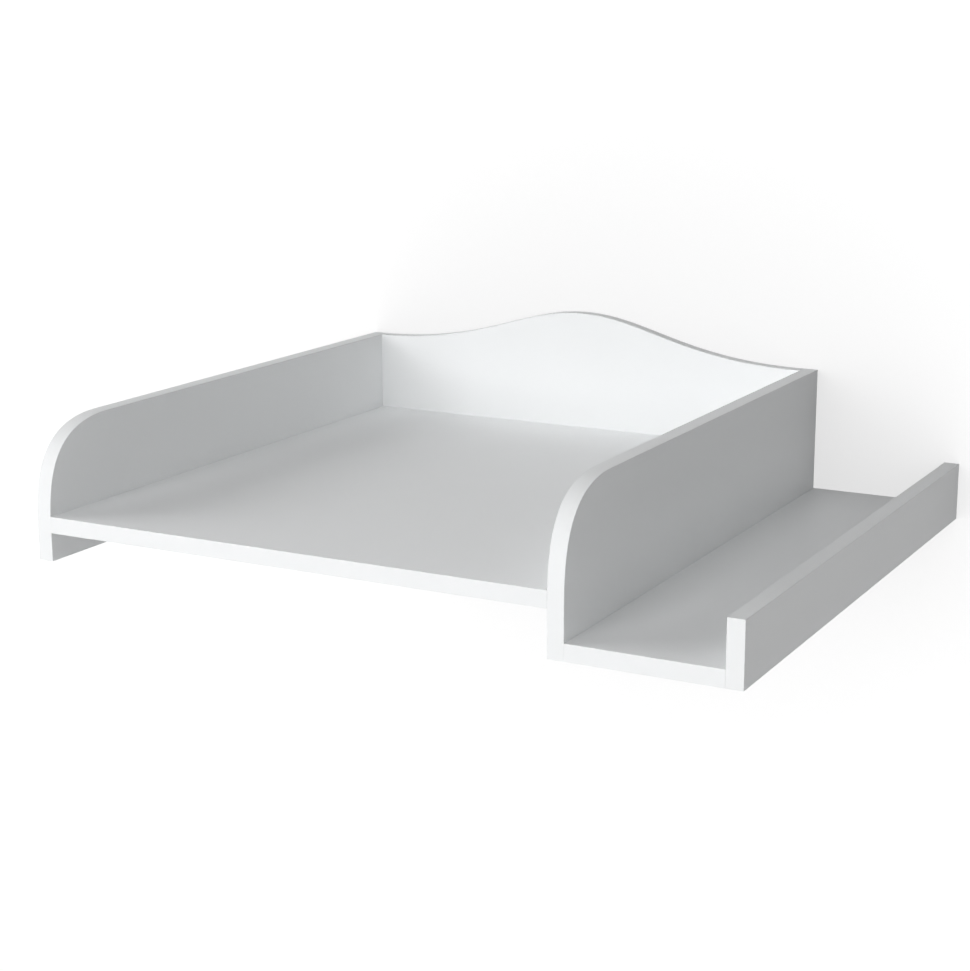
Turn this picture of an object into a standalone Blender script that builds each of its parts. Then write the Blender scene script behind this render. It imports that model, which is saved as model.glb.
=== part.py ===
"""A changing table topper: a walled platform that sits over a chest or an appliance, and a side tray.

White coated boards, made to be put together at home. Every visible edge has a glued band. Cam fittings
pull each butt joint together, beech dowels keep it in line, and the cams lie in faces that nobody sees.

Metres, +Z up. The origin is the middle of the platform's underside, which rests on the furniture below.
+X runs towards the tray, and -Y towards the person who changes the child.
"""

import math
from collections import defaultdict

import bmesh
import bpy
from mathutils import Matrix, Vector

# Boards
BOARD = 0.019
BACK_BOARD = 0.016
INNER_WIDTH = 0.624
DEPTH = 0.742
WALL_HEIGHT = 0.104
LEFT_SKIRT = 0.033
TRAY_DROP = 0.033
TRAY_WIDTH = 0.170

# The side panels' front corner, and how far its curve pulls towards the square corner
CORNER = 0.110
CORNER_PULL_SHARE = 0.69

# The back panel's crest rises from the walls' height in the middle of its width
CREST_RISE = 0.052
CROWN_PULL_SHARE = 0.295
SHOULDER_PULL_SHARE = 0.53

# Edge bands, the glue behind them, and the play where one board meets another
BAND = 0.001
GLUE_LINE = 0.0001
JOINT_GAP = 0.0003

# Cam fittings: a bolt screwed into one board, and the cam in the other that draws on the bolt's head
CAM_REACH = 0.024
CAM_RADIUS = 0.0072
CAM_WALL = 0.0018
CAM_FLOOR = 0.001
CAM_SLOT_DEPTH = 0.002
CAM_SLOT_LENGTH = 0.007
CAM_SLOT_WIDTH = 0.0012
BOLT_RADIUS = 0.0025
THREAD_RADIUS = 0.003
THREAD_LENGTH = 0.011
COLLAR_RADIUS = 0.0036
COLLAR_LENGTH = 0.0015
NECK_RADIUS = 0.0017
HEAD_RADIUS = 0.0032
HEAD_LENGTH = 0.0045
BOLT_CHAMFER = 0.0008
DOWEL_RADIUS = 0.004
DOWEL_IN_FACE = 0.012
DOWEL_IN_END = 0.018
DOWEL_CHAMFER = 0.001

# Play round each fitting and past its end, and how far a drill starts outside the board
FIT_GAP = 0.0003
END_ROOM = 0.001
OVERRUN = 0.002

# Where the fittings sit along the joints
CAM_MARGIN = 0.070
DOWEL_PITCH = 0.032
BACK_CAM_SHARE = 0.58
BACK_CAM_INSET = 0.100

# Counts
CURVE_STEPS = 20
SMALL_SIDES = 10
CAM_SIDES = 20

# Faces that meet at less than this angle are shaded as one round surface
ROUND_UP_TO = math.radians(40)

# Levels and places that follow from the sizes above
EDGE = BAND + GLUE_LINE
HALF_WIDTH = INNER_WIDTH / 2
FRONT = -DEPTH / 2
REAR = DEPTH / 2
TOP = BOARD
WALL_TOP = TOP + WALL_HEIGHT
TRAY_BOTTOM = -TRAY_DROP - BOARD
TRAY_INNER = HALF_WIDTH + BOARD
TRAY_OUTER = TRAY_INNER + TRAY_WIDTH
BACK_FRONT = REAR - BACK_BOARD
BACK_MIDDLE = REAR - BACK_BOARD / 2
CAM_POCKET = CAM_RADIUS - CAM_WALL
HEAD_ROOM = HEAD_RADIUS + FIT_GAP
NECK_ROOM = NECK_RADIUS + FIT_GAP
CAM_BACKING = HEAD_ROOM + CAM_FLOOR
BORE_RADIUS = max(COLLAR_RADIUS, HEAD_RADIUS) + FIT_GAP

drillings = defaultdict(list)


def clear_scene():
    for thing in list(bpy.data.objects):
        bpy.data.objects.remove(thing, do_unlink=True)


def finish(name, colour, roughness, metallic=0.0):
    """A Principled material with one colour, roughness and metallic value."""
    material = bpy.data.materials.new(name)
    material.use_nodes = True
    shader = material.node_tree.nodes["Principled BSDF"]
    shader.inputs["Base Color"].default_value = (*colour, 1.0)
    shader.inputs["Roughness"].default_value = roughness
    shader.inputs["Metallic"].default_value = metallic
    material.diffuse_color = (*colour, 1.0)
    return material


def add(name, mesh, material, location=(0, 0, 0)):
    """A named object with this mesh and material, under the topper's empty."""
    thing = bpy.data.objects.new(name, mesh)
    if not mesh.materials:
        mesh.materials.append(material)
    thing.location = location
    thing.parent = topper
    bpy.context.scene.collection.objects.link(thing)
    return thing


def bezier(start, pull, push, end):
    """Points and outward normals of a cubic curve that has its solid below and to its right."""
    points = []
    for step in range(CURVE_STEPS + 1):
        t = step / CURVE_STEPS
        s = 1 - t
        point = s**3 * start + 3 * s * s * t * pull + 3 * s * t * t * push + t**3 * end
        slope = s * s * (pull - start) + 2 * s * t * (push - pull) + t * t * (end - push)
        normal = Vector((-slope.y, slope.x)).normalized()
        points.append((point, normal))
    return points


def panel_edge(bottom):
    """The visible front and top edge of a side panel in Y and Z, from its foot to its rear end."""
    start = Vector((FRONT, WALL_TOP - CORNER))
    end = Vector((FRONT + CORNER, WALL_TOP))
    pull = start + Vector((0, CORNER * CORNER_PULL_SHARE))
    push = end - Vector((CORNER * CORNER_PULL_SHARE, 0))
    foot = (Vector((FRONT, bottom)), Vector((-1, 0)))
    heel = (Vector((REAR, WALL_TOP)), Vector((0, 1)))
    return [foot, *bezier(start, pull, push, end), heel]


def crest_edge():
    """The back panel's wavy top edge in X and Z, from its left end to its right one."""
    half = HALF_WIDTH - JOINT_GAP
    shoulder = Vector((-half, WALL_TOP))
    crown = Vector((0, WALL_TOP + CREST_RISE))
    pull = shoulder + Vector((half * SHOULDER_PULL_SHARE, 0))
    push = crown - Vector((half * CROWN_PULL_SHARE, 0))
    rising = bezier(shoulder, pull, push, crown)
    mirror = Vector((-1, 1))
    falling = [(point * mirror, normal * mirror) for point, normal in reversed(rising[:-1])]
    return rising + falling


def inset(edge, distance):
    return [point - normal * distance for point, normal in edge]


def mesh_from(name, shape):
    mesh = bpy.data.meshes.new(name)
    shape.to_mesh(mesh)
    shape.free()
    return mesh


def add_box(shape, low, high):
    """Puts a box between two opposite corners into this shape."""
    low, high = Vector(low), Vector(high)
    size = Matrix.Diagonal((*(high - low), 1))
    bmesh.ops.create_cube(shape, size=1, matrix=Matrix.Translation((low + high) / 2) @ size)


def add_rod(shape, middle, direction, radius, length, sides):
    """Puts a closed cylinder with this middle and direction into this shape."""
    turn = Vector(direction).to_track_quat("Z", "Y").to_matrix().to_4x4()
    bmesh.ops.create_cone(
        shape,
        cap_ends=True,
        segments=sides,
        radius1=radius,
        radius2=radius,
        depth=length,
        matrix=Matrix.Translation(middle) @ turn,
    )


def prism(name, outline, axis, thickness, start, material):
    """A piece whose outline stays the same all through its thickness, along X (axis 0) or Y (axis 1)."""
    shape = bmesh.new()
    corners = []
    for across, up in outline:
        corners.append(shape.verts.new((0, across, up) if axis == 0 else (across, 0, up)))
    grown = bmesh.ops.extrude_face_region(shape, geom=[shape.faces.new(corners)])
    far_side = [item for item in grown["geom"] if isinstance(item, bmesh.types.BMVert)]
    step = Vector((thickness, 0, 0) if axis == 0 else (0, thickness, 0))
    bmesh.ops.translate(shape, verts=far_side, vec=step)
    bmesh.ops.recalc_face_normals(shape, faces=shape.faces)
    location = (start, 0, 0) if axis == 0 else (0, start, 0)
    return add(name, mesh_from(name, shape), material, location)


def block(name, low, high, material):
    """A rectangular piece between two opposite corners, with its origin in its middle."""
    half = (Vector(high) - Vector(low)) / 2
    shape = bmesh.new()
    add_box(shape, -half, half)
    return add(name, mesh_from(name, shape), material, Vector(low) + half)


def turned(name, profile):
    """The mesh of a piece turned round X: the profile gives each ring's place along X and its radius."""
    shape = bmesh.new()
    rings = []
    for along, radius in profile:
        ring = []
        for side in range(SMALL_SIDES):
            angle = math.tau * side / SMALL_SIDES
            ring.append(shape.verts.new((along, radius * math.cos(angle), radius * math.sin(angle))))
        rings.append(ring)
    for near, far in zip(rings, rings[1:]):
        for side in range(SMALL_SIDES):
            after = (side + 1) % SMALL_SIDES
            shape.faces.new((near[side], near[after], far[after], far[side]))
    shape.faces.new(rings[0])
    shape.faces.new(rings[-1])
    bmesh.ops.recalc_face_normals(shape, faces=shape.faces)
    mesh = mesh_from(name, shape)
    mesh.shade_smooth()
    mesh.set_sharp_from_angle(angle=ROUND_UP_TO)
    return mesh


def cutter(name, shape):
    """A hidden object that only cuts."""
    tool = bpy.data.objects.new(name, mesh_from(name, shape))
    tool.hide_render = True
    tool.display_type = "WIRE"
    bpy.context.scene.collection.objects.link(tool)
    return tool


def cut(piece, tool):
    subtract = piece.modifiers.new("cut", "BOOLEAN")
    subtract.operation = "DIFFERENCE"
    subtract.solver = "EXACT"
    subtract.use_self = True
    subtract.object = tool


def drill(board):
    """Cuts every hole that the fittings asked for in this board."""
    shape = bmesh.new()
    for mouth, inward, radius, depth, sides in drillings[board.name]:
        middle = mouth + inward * ((depth - OVERRUN) / 2)
        add_rod(shape, middle, inward, radius, depth + OVERRUN, sides)
    cut(board, cutter(board.name + "_drills", shape))


def cam_mesh(name, board):
    """A cam for a board this thick: a cup that opens at its side and grips the bolt's head inside.

    Its axis is Z, its slotted face is up, and the bolt comes in along +X from the left. The head enters by
    the tall window at +Y, and a quarter turn brings the low slot round the bolt's neck.
    """
    up = (0, 0, 1)
    face = board / 2 - FIT_GAP
    shape = bmesh.new()
    add_rod(shape, (0, 0, (face - CAM_BACKING) / 2), up, CAM_RADIUS, face + CAM_BACKING, CAM_SIDES)
    body = bpy.data.objects.new(name, mesh_from(name, shape))
    bpy.context.scene.collection.objects.link(body)

    outside = CAM_RADIUS + OVERRUN
    top = face + OVERRUN
    slot_floor = face - CAM_SLOT_DEPTH
    half_long = CAM_SLOT_LENGTH / 2
    half_wide = CAM_SLOT_WIDTH / 2
    shape = bmesh.new()
    add_rod(shape, (0, 0, 0), up, CAM_POCKET, 2 * HEAD_ROOM, CAM_SIDES)
    add_box(shape, (-outside, -NECK_ROOM, -NECK_ROOM), (0, outside, NECK_ROOM))
    add_box(shape, (-HEAD_ROOM, 0, -HEAD_ROOM), (HEAD_ROOM, outside, HEAD_ROOM))
    add_box(shape, (-half_long, -half_wide, slot_floor), (half_long, half_wide, top))
    add_box(shape, (-half_wide, -half_long, slot_floor), (half_wide, half_long, top))
    tool = cutter(name + "_cut", shape)
    cut(body, tool)
    graph = bpy.context.evaluated_depsgraph_get()
    cam = bpy.data.meshes.new_from_object(body.evaluated_get(graph))
    cam.materials.clear()
    cam.shade_smooth()
    cam.set_sharp_from_angle(angle=ROUND_UP_TO)
    bpy.data.objects.remove(body, do_unlink=True)
    bpy.data.objects.remove(tool, do_unlink=True)
    return cam


def bolt_mesh():
    """A cam bolt along +X: its thread is behind the origin, and its tapered head lies in the cam's pocket."""
    collar_start = JOINT_GAP + FIT_GAP
    collar_end = collar_start + COLLAR_LENGTH
    head_start = CAM_REACH - CAM_POCKET + FIT_GAP
    head_end = head_start + HEAD_LENGTH
    head_seat = CAM_POCKET - math.sqrt(CAM_POCKET**2 - HEAD_RADIUS**2)
    neck_start = CAM_REACH - CAM_RADIUS - FIT_GAP - BOLT_CHAMFER
    profile = [
        (-THREAD_LENGTH, THREAD_RADIUS - BOLT_CHAMFER),
        (-THREAD_LENGTH + BOLT_CHAMFER, THREAD_RADIUS),
        (collar_start, THREAD_RADIUS),
        (collar_start, COLLAR_RADIUS),
        (collar_end, COLLAR_RADIUS),
        (collar_end, BOLT_RADIUS),
        (neck_start - BOLT_CHAMFER, BOLT_RADIUS),
        (neck_start, NECK_RADIUS),
        (head_start, NECK_RADIUS),
        (head_start + head_seat, HEAD_RADIUS),
        (head_end - BOLT_CHAMFER, HEAD_RADIUS),
        (head_end, HEAD_RADIUS - BOLT_CHAMFER),
    ]
    return turned("cam_bolt", profile)


def dowel_mesh():
    profile = [
        (-DOWEL_IN_FACE, DOWEL_RADIUS - DOWEL_CHAMFER),
        (-DOWEL_IN_FACE + DOWEL_CHAMFER, DOWEL_RADIUS),
        (DOWEL_IN_END - DOWEL_CHAMFER, DOWEL_RADIUS),
        (DOWEL_IN_END, DOWEL_RADIUS - DOWEL_CHAMFER),
    ]
    return turned("dowel", profile)


class Joint:
    """Where the end of one board meets the face of another.

    The fittings run along one direction into the board that ends there. The cams show in that board's
    face on the out side.
    """

    def __init__(self, name, face_board, end_board, thickness, along, out):
        self.name = name
        self.face_board = face_board
        self.end_board = end_board
        self.thickness = thickness
        self.along = Vector(along)
        self.out = Vector(out)

    def place(self, thing, point):
        """Turns the piece so that its X runs along the joint's direction and its Z to the out side."""
        across = self.out.cross(self.along)
        turn = Matrix((self.along, across, self.out)).transposed()
        thing.rotation_euler = turn.to_euler()
        thing.location = point

    def hole(self, board, mouth, inward, radius, depth, sides=SMALL_SIDES):
        drillings[board.name].append((mouth, inward, radius, depth, sides))

    def pull(self, label, point):
        """One cam fitting at this point of the joint: the bolt, the cam and their holes."""
        point = Vector(point)
        axis = point + self.along * CAM_REACH
        cam_depth = self.thickness / 2 + CAM_BACKING + FIT_GAP
        cam_mouth = axis + self.out * (self.thickness / 2)
        self.hole(self.face_board, point, -self.along, THREAD_RADIUS + FIT_GAP, THREAD_LENGTH + END_ROOM)
        self.hole(self.end_board, point, self.along, BORE_RADIUS, CAM_REACH)
        self.hole(self.end_board, cam_mouth, -self.out, CAM_RADIUS + FIT_GAP, cam_depth, CAM_SIDES)
        bolt = add(f"{self.name}_bolt_{label}", bolt_shape, steel)
        self.place(bolt, point)
        cam = add(f"{self.name}_cam_{label}", cam_shapes[self.thickness], zinc)
        self.place(cam, axis)

    def pin(self, label, point):
        """One dowel at this point of the joint, and its two holes."""
        point = Vector(point)
        radius = DOWEL_RADIUS + FIT_GAP
        self.hole(self.face_board, point, -self.along, radius, DOWEL_IN_FACE + END_ROOM)
        self.hole(self.end_board, point, self.along, radius, DOWEL_IN_END + END_ROOM)
        dowel = add(f"{self.name}_dowel_{label}", dowel_shape, beech)
        self.place(dowel, point)


def side_panel(name, start, bottom):
    """A side panel and its three bands: one bent round the front corner, one at the rear, one below."""
    edge = panel_edge(bottom)
    foot = Vector((FRONT + EDGE, bottom + EDGE))
    top_rear = Vector((REAR - EDGE, WALL_TOP - EDGE))
    bottom_rear = Vector((REAR - EDGE, bottom + EDGE))
    core = [foot, *inset(edge, EDGE)[1:-1], top_rear, bottom_rear]
    board = prism(f"{name}_side_panel", core, 0, BOARD, start, coated_board)
    strip = inset(edge, 0) + inset(edge, BAND)[::-1]
    prism(f"{name}_panel_front_band", strip, 0, BOARD, start, edge_band)
    end = start + BOARD
    block(
        f"{name}_panel_rear_band",
        (start, REAR - BAND, bottom + EDGE),
        (end, REAR, WALL_TOP - EDGE),
        edge_band,
    )
    block(
        f"{name}_panel_bottom_band",
        (start, FRONT + EDGE, bottom),
        (end, REAR, bottom + BAND),
        edge_band,
    )
    return board


def make_platform():
    """The changing platform, closed in by a side panel at each end and the back panel behind it."""
    left, right = -HALF_WIDTH + JOINT_GAP, HALF_WIDTH - JOINT_GAP
    rear = BACK_FRONT - JOINT_GAP
    block("platform_front_band", (left, FRONT, 0), (right, FRONT + BAND, TOP), edge_band)
    return block("changing_platform", (left, FRONT + EDGE, 0), (right, rear, TOP), coated_board)


def make_back_panel():
    """The back panel, with one band over its crest and one below, level with the platform's underside."""
    edge = crest_edge()
    half = HALF_WIDTH - JOINT_GAP
    core = [*inset(edge, EDGE), Vector((half, EDGE)), Vector((-half, EDGE))]
    board = prism("back_panel", core, 1, BACK_BOARD, BACK_FRONT, coated_board)
    crest = inset(edge, 0) + inset(edge, BAND)[::-1]
    prism("back_panel_crest_band", crest, 1, BACK_BOARD, BACK_FRONT, edge_band)
    block("back_panel_bottom_band", (-half, BACK_FRONT, 0), (half, REAR, BAND), edge_band)
    return board


def make_tray_floor():
    """The tray's floor between the right panel and the rail, open at the front and at the rear."""
    left, right = TRAY_INNER + JOINT_GAP, TRAY_OUTER - JOINT_GAP
    low, high = TRAY_BOTTOM, -TRAY_DROP
    block("tray_floor_front_band", (left, FRONT, low), (right, FRONT + BAND, high), edge_band)
    block("tray_floor_rear_band", (left, REAR - BAND, low), (right, REAR, high), edge_band)
    return block("tray_floor", (left, FRONT + EDGE, low), (right, REAR - EDGE, high), coated_board)


def make_tray_rail():
    """The tray's outer rail, as high as the platform's top face, with a band on each of its four edges."""
    near, far = TRAY_OUTER, TRAY_OUTER + BOARD
    low, high = TRAY_BOTTOM + EDGE, TOP - EDGE
    rail = block("tray_rail", (near, FRONT + EDGE, low), (far, REAR - EDGE, high), coated_board)
    block("tray_rail_top_band", (near, FRONT, TOP - BAND), (far, REAR, TOP), edge_band)
    block("tray_rail_bottom_band", (near, FRONT, TRAY_BOTTOM), (far, REAR, TRAY_BOTTOM + BAND), edge_band)
    block("tray_rail_front_band", (near, FRONT, low), (far, FRONT + BAND, high), edge_band)
    block("tray_rail_rear_band", (near, REAR - BAND, low), (far, REAR, high), edge_band)
    return rail


def join_side(name, face_board, end_board, face, direction, height, labels):
    """A level board's side: cams at even steps along the depth, and a dowel beside the first and the last."""
    joint = Joint(name, face_board, end_board, BOARD, (direction, 0, 0), (0, 0, -1))
    first, last = FRONT + CAM_MARGIN, REAR - CAM_MARGIN
    for step, label in enumerate(labels):
        share = step / (len(labels) - 1)
        joint.pull(label, (face, first + (last - first) * share, height))
    joint.pin("front", (face, first + DOWEL_PITCH, height))
    joint.pin("rear", (face, last - DOWEL_PITCH, height))


def join_back_panel():
    """One cam fitting at each end of the back panel, and two with two dowels on the platform's rear edge."""
    place = HALF_WIDTH - BACK_CAM_INSET
    for name, side, panel in (("left", -1, left_panel), ("right", 1, right_panel)):
        joint = Joint("back_end", panel, back, BACK_BOARD, (-side, 0, 0), (0, 1, 0))
        joint.pull(name, (side * HALF_WIDTH, BACK_MIDDLE, TOP + WALL_HEIGHT * BACK_CAM_SHARE))
        joint = Joint("platform_back", back, platform, BOARD, (0, -1, 0), (0, 0, -1))
        joint.pull(name, (side * place, BACK_FRONT, platform_middle))
        joint.pin(name, (side * (place - DOWEL_PITCH), BACK_FRONT, platform_middle))


clear_scene()
topper = bpy.data.objects.new("changing_topper", None)
bpy.context.scene.collection.objects.link(topper)

coated_board = finish("coated_board", (0.86, 0.87, 0.88), 0.38)
edge_band = finish("edge_band", (0.87, 0.88, 0.89), 0.32)
zinc = finish("zinc", (0.55, 0.55, 0.56), 0.42, 1.0)
steel = finish("steel", (0.62, 0.60, 0.56), 0.32, 1.0)
beech = finish("beech", (0.58, 0.40, 0.24), 0.65)

left_panel = side_panel("left", -HALF_WIDTH - BOARD, -LEFT_SKIRT)
right_panel = side_panel("right", HALF_WIDTH, TRAY_BOTTOM)
platform = make_platform()
back = make_back_panel()
tray_floor = make_tray_floor()
tray_rail = make_tray_rail()

cam_shapes = {
    BOARD: cam_mesh("board_cam", BOARD),
    BACK_BOARD: cam_mesh("back_board_cam", BACK_BOARD),
}
bolt_shape = bolt_mesh()
dowel_shape = dowel_mesh()

platform_middle = TOP / 2
tray_middle = TRAY_BOTTOM + BOARD / 2
three = ("front", "middle", "rear")
two = ("front", "rear")
join_side("platform_left", left_panel, platform, -HALF_WIDTH, 1, platform_middle, three)
join_side("platform_right", right_panel, platform, HALF_WIDTH, -1, platform_middle, three)
join_side("tray_inner", right_panel, tray_floor, TRAY_INNER, 1, tray_middle, two)
join_side("tray_outer", tray_rail, tray_floor, TRAY_OUTER, -1, tray_middle, two)
join_back_panel()

for board in (left_panel, right_panel, platform, back, tray_floor, tray_rail):
    drill(board)
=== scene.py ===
# %% [markdown]
# # Dressing a changing table topper
#
# The real object is made of white coated boards and sits on a chest of drawers: a platform for the mat,
# two side panels with a rounded front corner, a back panel with a wavy top, and a narrow open tray on the
# right. Because it is all white, its look depends on small things: the eased corners of the edge bands,
# the hairline where two boards meet, and soft light that gives each face its own grey.
#
# The sizes come from a measured model, the frame. This script loads it, makes a finer surface for each
# board, band and fitting in the same place, and gives every surface a procedural finish.

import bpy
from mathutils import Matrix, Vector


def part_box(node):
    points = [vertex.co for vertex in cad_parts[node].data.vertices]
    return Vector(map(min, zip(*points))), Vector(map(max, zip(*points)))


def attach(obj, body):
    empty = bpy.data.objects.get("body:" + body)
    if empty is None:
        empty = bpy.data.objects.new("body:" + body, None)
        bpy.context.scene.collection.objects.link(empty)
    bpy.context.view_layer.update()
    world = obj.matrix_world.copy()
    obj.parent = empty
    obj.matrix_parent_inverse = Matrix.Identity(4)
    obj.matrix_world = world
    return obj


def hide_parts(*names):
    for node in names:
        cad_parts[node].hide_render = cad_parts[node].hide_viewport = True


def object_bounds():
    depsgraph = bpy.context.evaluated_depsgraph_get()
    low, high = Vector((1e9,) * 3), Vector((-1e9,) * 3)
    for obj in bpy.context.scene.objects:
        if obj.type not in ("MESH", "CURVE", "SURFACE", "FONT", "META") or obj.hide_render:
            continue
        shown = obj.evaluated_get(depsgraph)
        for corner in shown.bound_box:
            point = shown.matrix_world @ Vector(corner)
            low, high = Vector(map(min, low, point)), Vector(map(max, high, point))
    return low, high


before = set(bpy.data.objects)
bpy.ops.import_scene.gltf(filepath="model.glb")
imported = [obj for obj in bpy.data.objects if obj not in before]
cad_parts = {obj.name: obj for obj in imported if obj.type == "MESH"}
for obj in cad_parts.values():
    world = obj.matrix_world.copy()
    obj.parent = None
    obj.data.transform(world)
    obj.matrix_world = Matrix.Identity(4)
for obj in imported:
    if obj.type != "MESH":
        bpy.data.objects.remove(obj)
cad_low, cad_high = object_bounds()
print(len(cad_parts), "nodes, size in metres", [round(size, 3) for size in cad_high - cad_low])

# %% [markdown]
# ## Sizes
#
# A piece that stands for a part of the frame has to lie where that part lies. So places are read from the
# frame's boxes and not typed again. Only what a box can't tell is a value here: how the two curves pull,
# and the small sizes that a maker leaves to the machine, such as the radius that trims an edge band. All
# lengths are in metres.

# %% Read the places from the frame
import math
from collections import defaultdict

import bmesh
import bpy
import numpy as np
from mathutils import Matrix, Vector

X, Y, Z = 0, 1, 2
low, high = {}, {}
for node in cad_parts:
    low[node], high[node] = (np.array(corner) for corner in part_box(node))

FRONT, REAR = cad_low.y, cad_high.y
LEFT_OUT, LEFT_IN = low["left_side_panel"][X], high["left_side_panel"][X]
RIGHT_IN, RIGHT_OUT = low["right_side_panel"][X], high["right_side_panel"][X]
RAIL_IN, RAIL_OUT = low["tray_rail"][X], high["tray_rail"][X]
WALL_TOP = high["left_panel_front_band"][Z]
CREST_TOP = high["back_panel_crest_band"][Z]
TOP, UNDERSIDE = high["changing_platform"][Z], low["changing_platform"][Z]
TRAY_TOP, TRAY_UNDERSIDE = high["tray_floor"][Z], low["tray_floor"][Z]
LEFT_FOOT, RIGHT_FOOT = low["left_panel_bottom_band"][Z], low["right_panel_bottom_band"][Z]
BACK_FRONT = low["back_panel"][Y]
BAND = high["platform_front_band"][Y] - low["platform_front_band"][Y]
print("inside width", round(RIGHT_IN - LEFT_IN, 4), "depth", round(REAR - FRONT, 4), "band", round(BAND, 4))

# %% Values that no box tells
CORNER = 0.110
CORNER_PULL_SHARE = 0.69
CROWN_PULL_SHARE = 0.295
SHOULDER_PULL_SHARE = 0.53
CURVE_STEPS = 96

BAND_RADIUS = 0.0005
BAND_SUPPORT = 0.00015
ROUND_STEPS = 6
HAIRLINE = 0.00012
SNUG = 0.00002
ROUND_UP_TO = math.radians(32)
print("front corner", CORNER, "band radius", BAND_RADIUS, "hairline", HAIRLINE)

# %% [markdown]
# ## One way to make a closed body
#
# Boards, bands, bolts and dowels have one thing in common: each is a row of rings. A board is its outline
# at four heights, a band is its section carried along a path, and a bolt is a circle of changing radius.
# A modifier could make each of them, but one function is enough for all. It takes an array of rings, joins
# each ring to the next and closes the ends. The faces have to point outwards, and the sign of the volume
# that they enclose tells whether they do.

# %% Rings to a mesh
def signed_volume(points, faces):
    """Adds up the pyramids between the origin and each triangle: a . (b x c) / 6, in cubic metres."""
    fans = [np.array([(face[0], b, c) for b, c in zip(face[1:], face[2:])]) for face in faces]
    a, b, c = points[np.concatenate(fans).T]
    return float(np.einsum("ij,ij->", a, np.cross(b, c)) / 6)


def body(rings):
    """Points and faces of a closed body: rings[i, j] is point j of ring i, and flat faces close both ends."""
    count, around = rings.shape[:2]
    here = np.arange(count * around).reshape(count, around)
    beside = np.roll(here, -1, axis=1)
    sides = np.stack([here[:-1], beside[:-1], beside[1:], here[1:]], axis=-1).reshape(-1, 4)
    faces = [*sides.tolist(), here[0, ::-1].tolist(), here[-1].tolist()]
    points = rings.reshape(-1, 3)
    if signed_volume(points, faces) < 0:
        return body(rings[:, ::-1])
    return points, faces


def solid(name, *bodies):
    """One object from one or more closed bodies. Faces that meet at a small angle are shaded as one."""
    starts = np.cumsum([0] + [len(points) for points, faces in bodies])
    faces = [[start + corner for corner in face] for start, (_, part) in zip(starts, bodies) for face in part]
    mesh = bpy.data.meshes.new(name)
    mesh.from_pydata(np.concatenate([points for points, part in bodies]), [], faces)
    mesh.shade_smooth()
    mesh.set_sharp_from_angle(angle=ROUND_UP_TO)
    piece = bpy.data.objects.new(name, mesh)
    bpy.context.scene.collection.objects.link(piece)
    return piece


square = np.array([(0, 0, 0), (1, 0, 0), (1, 1, 0), (0, 1, 0)])
print("a block of two square rings holds", signed_volume(*body(np.stack([square, square + (0, 0, 1)]))))

# %% [markdown]
# ## The two curves
#
# The side panels' front corner and the back panel's crest aren't round arcs. The corner is fuller than a
# quarter circle, and the crest rises like a bell. Both follow a cubic Bezier curve, which needs only where
# it starts and ends and how far it is pulled along its end directions. Its slope gives the direction that
# the edge faces, which the bands need.

# %% Curves with their outward directions
def cubic(start, pull, push, end):
    """Points s³ start + 3s²t pull + 3st² push + t³ end (s = 1 - t), and the slope turned left."""
    start, pull, push, end = map(np.array, (start, pull, push, end))
    t = np.linspace(0, 1, CURVE_STEPS + 1)[:, None]
    s = 1 - t
    points = s**3 * start + 3 * s * s * t * pull + 3 * s * t * t * push + t**3 * end
    slope = s * s * (pull - start) + 2 * s * t * (push - pull) + t * t * (end - push)
    facing = np.stack([-slope[:, 1], slope[:, 0]], axis=1)
    return points, facing / np.linalg.norm(facing, axis=1, keepdims=True)


def panel_edge(foot):
    """A side panel's front and top edge in Y and Z, from its foot round the corner to its rear end."""
    reach = CORNER * CORNER_PULL_SHARE
    points, facing = cubic(
        (FRONT, WALL_TOP - CORNER),
        (FRONT, WALL_TOP - CORNER + reach),
        (FRONT + CORNER - reach, WALL_TOP),
        (FRONT + CORNER, WALL_TOP),
    )
    points = np.concatenate([[(FRONT, foot)], points, [(REAR, WALL_TOP)]])
    return points, np.concatenate([[(-1, 0)], facing, [(0, 1)]])


def crest_edge():
    """The back panel's top edge in X and Z: a curve from the left end to the crown, and its mirror image."""
    half = RIGHT_IN
    points, facing = cubic(
        (-half, WALL_TOP),
        (-half + half * SHOULDER_PULL_SHARE, WALL_TOP),
        (-half * CROWN_PULL_SHARE, CREST_TOP),
        (0, CREST_TOP),
    )
    mirror = np.array([-1, 1])
    return [np.concatenate([rows, rows[-2::-1] * mirror]) for rows in (points, facing)]


corner_points, _ = panel_edge(LEFT_FOOT)
crest_points, _ = crest_edge()
print(len(corner_points), "points round a side panel,", len(crest_points), "over the crest")

# %% [markdown]
# ## Boards
#
# A coated board is a flat plate. Its sawn sides are covered by bands or pressed against another board, and
# a hairline shows where they meet. In mesh terms that is an outline carried through four rings, where the
# outer two are a hair smaller. To shrink an outline evenly, each corner moves along the sum of its two
# edges' directions, divided by one plus their dot product.

# %% Outline to board
def inset(outline, distance):
    """The outline moved inwards by a distance, with its corners mitred: p - d (n + m) / (1 + n . m)."""
    edge = np.roll(outline, -1, axis=0) - outline
    after = np.stack([edge[:, 1], -edge[:, 0]], axis=1)
    after /= np.linalg.norm(after, axis=1, keepdims=True)
    before = np.roll(after, 1, axis=0)
    share = 1 + np.sum(after * before, axis=1, keepdims=True)
    right, up = outline.T
    turns_left = np.sum(right * np.roll(up, -1) - up * np.roll(right, -1))
    return outline - math.copysign(distance, turns_left) * (after + before) / share


def spread(flat, across, values):
    """Rings of a flat outline at several values of the third axis: shape (values, outline, 3)."""
    flat = np.asarray(flat)
    rings = np.empty((len(values), flat.shape[-2], 3))
    others = [axis for axis in (X, Y, Z) if axis != across]
    rings[..., others] = flat
    rings[..., across] = np.array(values)[:, None]
    return rings


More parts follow.
